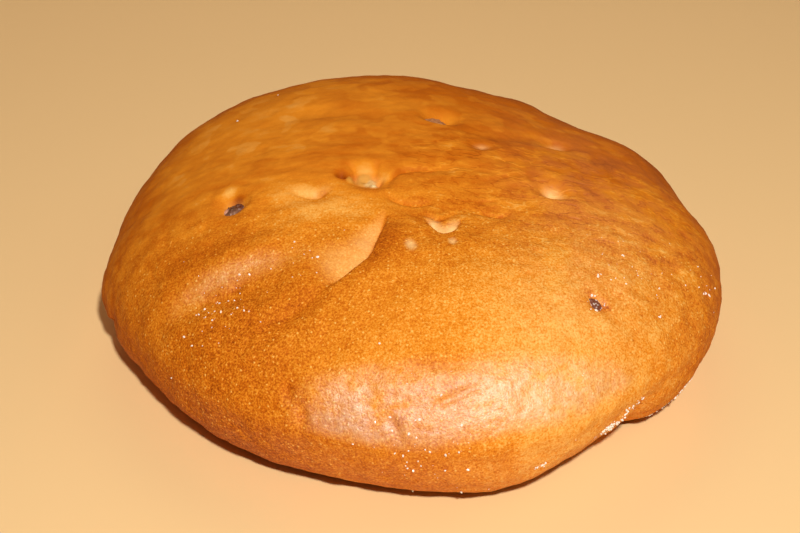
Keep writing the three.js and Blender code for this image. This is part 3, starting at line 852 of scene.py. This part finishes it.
def crustMaterial():
    look = crustFinish
    material, graph = newMaterial("bakedCrust")
    place = graph.node("ShaderNodeTexCoord", out="Object")
    level = graph.vectors("MULTIPLY", place, look["rippleStretch"])
    mottle = graph.swing(place, *look["mottleNoise"])
    blotch = graph.swing(place, *look["blotchNoise"])
    ripple = graph.swing(level, *look["rippleNoise"])
    rippled = ripple * graph.attribute("rippled")
    streak = graph.swing(graph.attribute("streak", "Vector"), *look["streakNoise"])
    stippled = graph.attribute("stippled")
    grain = graph.swing(place, *look["grainNoise"]) * stippled
    pebble = graph.swing(place, *look["pebbleNoise"]) * stippled
    # tiny blisters: they bump the surface, and their glints are painted as lighter dots
    cellColour = graph.cells(place, look["speckSize"], "Color")
    chance = graph.node("ShaderNodeSeparateColor", None, {"Color": cellColour})
    blisterGlint = graph.step(graph.cells(place, look["speckSize"], "Distance"), *look["speckEdge"])
    blisterGlint = blisterGlint * chance ** look["speckPower"] * stippled
    creased = graph.attribute("creased")
    # dark wrinkle lines are painted shade and light crinkle lines painted highlight, and both also bump the
    # surface
    wrinkle = thinLines(graph, level, look["wrinkleNoise"], look["wrinkleWidth"])
    wrinkle = wrinkle * creased * graph.step(blotch, *look["wrinkleWhere"])
    shifted = graph.vectors("ADD", level, look["crinkleShift"])
    crinkle = thinLines(graph, shifted, look["wrinkleNoise"], look["crinkleWidth"])
    crinkle = crinkle * creased * graph.step(blotch, *look["crinkleWhere"])
    # pale patches at the rear, painted light for facets that face the lamp
    cobble = graph.step(graph.noise(place, *look["cobbleNoise"]), *look["cobbleEdge"])
    cobble = cobble * graph.attribute("cobbled")
    # brown is the place on the colour ramp: besides the crust's own tone it carries painted shade and light,
    # wrinkle lines and blister glints
    brown = graph.attribute("browned") + mottle * look["mottle"] + blotch * look["blotch"]
    brown = brown - cobble * look["cobble"] - streak * graph.attribute("streaked") * look["streak"]
    brown = brown - rippled * look["ripple"] + wrinkle * look["wrinkle"] - crinkle * look["crinkle"]
    brown = brown - grain * look["grain"] - pebble * look["pebble"] - blisterGlint * look["blisterGlint"]
    baked = graph.node("ShaderNodeValToRGB", {"stops": look["stops"]}, {"Fac": brown})
    # pale: partly crust that stayed less brown, partly painted light on faces turned to the lamp
    uneven = look["paleMiddle"] + blotch * look["paleBlotch"] + ripple * look["paleRipple"]
    baked = graph.blend(graph.attribute("pale") * uneven, baked, look["paleColour"])
    torn = graph.blend(graph.attribute("crumbLight"), look["crumbColour"], look["crumbLight"])
    baked = graph.blend(graph.attribute("crumb"), baked, torn)
    # darker at the bottom: bottom crust and painted contact shade
    baked = graph.blend(graph.attribute("under"), baked, look["bottomCrustAndShade"])
    height = grain * look["grainBump"] + pebble * look["pebbleBump"] + blisterGlint + blotch * look["blotchBump"]
    bump = graph.bump(height + rippled * look["rippleBump"] - wrinkle + crinkle, look["bumpHeight"])
    rougher = blotch * look["roughnessSwing"]
    matt = shader(graph, {
        "Base Color": baked,
        "Roughness": look["roughness"] + rougher,
        "Specular IOR Level": look["specular"],
        "Normal": bump,
    })
    glossy = shader(graph, {
        "Base Color": graph.blend(look["washDarker"], baked, (0, 0, 0)),
        "Roughness": look["washRoughness"] + rougher,
        "Specular IOR Level": look["washSpecular"],
        "IOR": look["washIor"],
        "Normal": bump,
    })
    washed = graph.attribute("washed") * graph.step(mottle + blotch, *look["washPatch"])
    washed = washed * (1 + grain * look["washGrain"] + pebble * look["washPebble"])
    finishMaterial(graph, graph.node("ShaderNodeMixShader", None, {0: washed, 1: matt, 2: glossy}))
    return material


crustSkin = {
    "Lump Size": 30.0, "Lump Height": 1.1,
    "Wrinkle Height": 1.8,
    "Ripple Size": 3.4, "Ripple Height": 0.9,
    "Stretch Size": 7.0, "Stretch Height": 1.8,
}
skinGrain = {  # detail and roughness
    "lump": (1, 0.4), "wrinkle": (3, 0.6), "ripple": (3, 0.6), "stretch": (4, 0.55),
}


def crustSkinTree():  # lumps, wrinkles round the rim and the stretched front
    graph, entry = newGeometryTree("crustSkin", crustSkin)
    place = graph.node("GeometryNodeInputPosition")
    flow = graph.layer("flow", "FLOAT_VECTOR")  # counts in waves already
    level = graph.vectors("MULTIPLY", place, crustFinish["rippleStretch"])
    lump = graph.swing(place, entry["Lump Size"], *skinGrain["lump"]) * (1 - graph.layer("under"))
    wrinkle = graph.swing(flow, 1 / mm, *skinGrain["wrinkle"]) * graph.layer("wrinkled")
    ripple = graph.swing(level, entry["Ripple Size"], *skinGrain["ripple"]) * graph.layer("rippled")
    stretch = graph.swing(place, entry["Stretch Size"], *skinGrain["stretch"]) * graph.layer("stretched")
    rise = lump * entry["Lump Height"] + wrinkle * entry["Wrinkle Height"]
    rise = rise + ripple * entry["Ripple Height"] + stretch * entry["Stretch Height"]
    moved = pushedOut(graph, entry["Geometry"], rise * mm)
    return finishGeometryTree(graph, moved, entry["Material"])


def makeCrust():
    directions, quads = gridBall(loafForm["gridSteps"])
    bare = domePoints(directions)
    points = loafPoints(bare, vertexNormals(bare, quads))
    mesh = bpy.data.meshes.new("crust")
    mesh.from_pydata((points * mm).tolist(), [], quads.tolist())
    mesh.shade_smooth()
    storeLayers(mesh, crustLayers(points))
    crust = newPiece("crust", mesh)
    dress(crust, crustSkinTree(), crustSkin, crustMaterial())
    print("crust:", len(crust.data.polygons), "faces")
    return crust


# Coarse sugar stuck to the crust

sugarCrystals = {"Grains": 1.8, "Seed": 17, "Smallest": 0.2, "Largest": 0.85}
sugarShape = {  # a ball of few facets, drawn out or flattened
    "radius": 0.55, "facets": 20, "flattest": (0.6, 0.55, 0.45), "longest": (1.5, 1.2, 1.0),
    "fewLarge": 2.5,  # power of the draw for size
}
sugarFinish = {
    "colour": (0.98, 0.94, 0.88), "cloudColour": (0.90, 0.83, 0.74), "cloudNoise": (0.6, 1, 0.5),
    "roughness": 0.12, "roughnessSwing": 0.2,
}
perSquareCm = 1e4  # to each square metre


def sugarMaterial():
    look = sugarFinish
    material, graph = newMaterial("sugarCrystal")
    cloud = graph.noise(graph.node("ShaderNodeTexCoord", out="Object"), *look["cloudNoise"])
    finishMaterial(graph, shader(graph, {
        "Base Color": graph.blend(cloud, look["cloudColour"], look["colour"]),
        "Roughness": look["roughness"] + cloud * look["roughnessSwing"],
    }))
    return material


def sugarTree():
    graph, entry = newGeometryTree("sugarScatter", sugarCrystals)
    points = graph.node("GeometryNodeDistributePointsOnFaces", {"distribute_method": "RANDOM"}, {
        "Mesh": entry["Geometry"],
        "Density": graph.layer("sugared") * entry["Grains"] * perSquareCm,
        "Seed": entry["Seed"],
    })
    anyTurn = graph.node("FunctionNodeRandomValue", {"data_type": "FLOAT_VECTOR"}, {
        0: (0, 0, 0), 1: (2 * math.pi,) * 3, "Seed": 1})
    blocky = graph.node("FunctionNodeRandomValue", {"data_type": "FLOAT_VECTOR"}, {
        0: sugarShape["flattest"], 1: sugarShape["longest"], "Seed": 2})
    draw = graph.node("FunctionNodeRandomValue", {"data_type": "FLOAT"}, {2: 0.0, 3: 1.0, "Seed": 3}, out=1)
    size = entry["Smallest"] + (entry["Largest"] - entry["Smallest"]) * draw ** sugarShape["fewLarge"]
    ball = {"Radius": sugarShape["radius"], "Subdivisions": 1}
    crystal = graph.node("GeometryNodeMeshIcoSphere", None, ball)
    grains = graph.node("GeometryNodeInstanceOnPoints", None, {
        "Points": points, "Instance": crystal, "Rotation": anyTurn, "Scale": graph.scaled(blocky, size * mm)})
    return finishGeometryTree(graph, grains, entry["Material"])


def makeSugar(crust):
    sugar = newPiece("sugar", crust.data.copy())
    dress(sugar, sugarTree(), sugarCrystals, sugarMaterial())
    print("sugar:", len(sugar.data.polygons) // sugarShape["facets"], "grains")
    return sugar


# Raisins

raisinSkin = {"Furrow Size": 1.6, "Furrow Depth": 0.45}
furrowGrain = (2, 0.5, 0.6)  # detail, roughness and distortion
furrowLevel = 0.16  # where the folded noise neither sinks nor stands out
furrowGain = 3
weldWithin = 0.01
raisinLevels = 2
raisinLooks = {  # bloom is how dusty the skin is, sparkle how much fine sugar lies on it, ends are spots of colour: painted highlight and shade on the left and back raisins, the skin's own reddish brown on the right one
    "raisin_left": {
        "bloom": 0.08, "sparkle": 0.1,
        "ends": [
            # painted highlight on the raisin's left end
            {"at": (-46.6, -15.2, 44.0), "reach": 1.6, "colour": (0.78, 0.40, 0.28)},
            # painted shade on its right end, in the shade of the pit
            {"at": (-42.0, -13.9, 45.2), "reach": 2.6, "colour": (0.11, 0.014, 0.004)},
        ],
    },
    "raisin_right": {
        "bloom": 0.2, "sparkle": 0.6,
        "ends": [{"at": (43.6, -46.8, 39.6), "reach": 4.5, "colour": (0.17, 0.045, 0.02)}],
    },
    "raisin_back": {
        "bloom": 0.85, "sparkle": 0.0,
        # painted highlight on the back raisin's top
        "ends": [{"at": (7.9, 20.2, 48.0), "reach": 1.2, "colour": (0.62, 0.33, 0.14)}],
    },
}
raisinFinish = {
    "stops": [(0.30, (0.030, 0.010, 0.006)), (0.50, (0.105, 0.032, 0.018)), (0.75, (0.24, 0.12, 0.08))],
    "bloomColour": (0.48, 0.19, 0.07),
    "sparkleColour": (0.90, 0.78, 0.70),
    "cloudNoise": (2.2, 3, 0.6), "cloudShift": 0.05,
    "endCore": 0.4,  # share of an end's reach that has its full colour
    "sparkleSize": 1.0, "sparkleEdge": (0.4, 0.25),
    "bumpHeight": 0.1,
    "roughness": 0.35, "roughnessSwing": 0.2,
}


def raisinMaterial(name, bloom, sparkle, ends):
    look = raisinFinish
    material, graph = newMaterial(name + "Skin")
    place = graph.node("ShaderNodeTexCoord", out="Object")
    cloud = graph.noise(place, *look["cloudNoise"])
    skin = graph.node("ShaderNodeValToRGB", {"stops": look["stops"]}, {"Fac": cloud + look["cloudShift"]})
    skin = graph.blend(bloom, skin, look["bloomColour"])
    # each end's spot of colour: painted highlight and shade on the left and back raisins, the raisin's own
    # reddish brown on the right one
    for end in ends:
        away = graph.vectors("DISTANCE", place, tuple(size * mm for size in end["at"]), "Value")
        reach = end["reach"] * mm
        skin = graph.blend(graph.step(away, reach, look["endCore"] * reach), skin, end["colour"])
    crystal = graph.step(graph.cells(place, look["sparkleSize"], "Distance"), *look["sparkleEdge"]) * sparkle
    finishMaterial(graph, shader(graph, {
        "Base Color": graph.blend(crystal, skin, look["sparkleColour"]),
        "Roughness": look["roughness"] + cloud * look["roughnessSwing"],
        "Normal": graph.bump(cloud + crystal, look["bumpHeight"]),
    }))
    return material


def raisinSkinTree():
    graph, entry = newGeometryTree("raisinFurrows", raisinSkin)
    place = graph.node("GeometryNodeInputPosition")
    furrow = abs(graph.swing(place, entry["Furrow Size"], *furrowGrain)) - furrowLevel
    moved = pushedOut(graph, entry["Geometry"], furrow * entry["Furrow Depth"] * (furrowGain * mm))
    return finishGeometryTree(graph, moved, entry["Material"])


def makeRaisin(node, tree, material):
    form = bmesh.new()
    form.from_mesh(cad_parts[node].data)
    bmesh.ops.remove_doubles(form, verts=form.verts, dist=weldWithin * mm)
    mesh = bpy.data.meshes.new(node + "_skin")
    form.to_mesh(mesh)
    form.free()
    raisin = newPiece(node + "_skin", mesh)
    subdivision = raisin.modifiers.new("subdivision", "SUBSURF")
    subdivision.levels = raisinLevels
    dress(raisin, tree, raisinSkin, material)
    raisin.data.shade_smooth()
    print(raisin.name + ":", len(raisin.data.polygons), "faces")
    return raisin


# Stage: floor, light and camera

view = {
    "target": (-2.8, -5.3, 20), "bearing": -90, "elevation": 36, "distance": 442.5, "lens": 76, "sensor": 36,
}
floor = {"half": 4000.0, "colour": (0.90, 0.62, 0.31), "roughness": 0.6}
lights = {
    "key": {"bearing": -80, "elevation": 49, "distance": 750, "size": 40,
            "watts": 5.7, "colour": (1, 0.96, 0.89)},
    "fill": {"bearing": 95, "elevation": 42, "distance": 900, "size": 500,
             "watts": 1.25, "colour": (1, 0.66, 0.34)},
    "back": {"bearing": 150, "elevation": 42, "distance": 900, "size": 600,
             "watts": 0.45, "colour": (1, 0.66, 0.34)},
    "side": {"bearing": 6, "elevation": 45, "distance": 900, "size": 450,
             "watts": 0.5, "colour": (1, 0.88, 0.72)},
}
worldColour = (1, 0.74, 0.48)
worldStrength = 0.05


def aim(thing, spot):  # at the view's target, from the spot's bearing, elevation and distance
    target = Vector(view["target"])
    bearing, elevation = math.radians(spot["bearing"]), math.radians(spot["elevation"])
    level = math.cos(elevation)
    side = (level * math.cos(bearing), level * math.sin(bearing))
    place = target + Vector((*side, math.sin(elevation))) * spot["distance"]
    thing.location = place * mm
    thing.rotation_mode = "QUATERNION"
    thing.rotation_quaternion = (target - place).to_track_quat("-Z", "Y")


def makeFloor():
    half = floor["half"] * mm
    corners = [(-half, -half, 0), (half, -half, 0), (half, half, 0), (-half, half, 0)]
    mesh = bpy.data.meshes.new("floor")
    mesh.from_pydata(corners, [], [(0, 1, 2, 3)])
    material, graph = newMaterial("paleFloor")
    sockets = {"Base Color": (*floor["colour"], 1), "Roughness": floor["roughness"]}
    finishMaterial(graph, shader(graph, sockets))
    mesh.materials.append(material)
    newPiece("floor", mesh)


def makeLights():
    for name, light in lights.items():
        lamp = bpy.data.lights.new(name, "AREA")
        lamp.size = light["size"] * mm
        lamp.energy = light["watts"]
        lamp.color = light["colour"]
        aim(newPiece(name, lamp), light)
    world = bpy.data.worlds.new("softRoom")
    bpy.context.scene.world = world
    world.use_nodes = True
    background = world.node_tree.nodes["Background"]
    background.inputs["Color"].default_value = (*worldColour, 1)
    background.inputs["Strength"].default_value = worldStrength


def makeCamera():
    lens = bpy.data.cameras.new("camera")
    lens.lens = view["lens"]
    lens.sensor_width = view["sensor"]
    camera = newPiece("camera", lens)
    aim(camera, view)
    bpy.context.scene.camera = camera
    bpy.context.scene.view_settings.view_transform = "Standard"


makeCamera()
makeLights()
makeFloor()

crust = makeCrust()
sugar = makeSugar(crust)
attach(crust, body)
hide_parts("loaf")
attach(sugar, body)

furrows = raisinSkinTree()
for node, look in raisinLooks.items():
    raisin = makeRaisin(node, furrows, raisinMaterial(node, **look))
    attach(raisin, body)
    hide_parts(node)
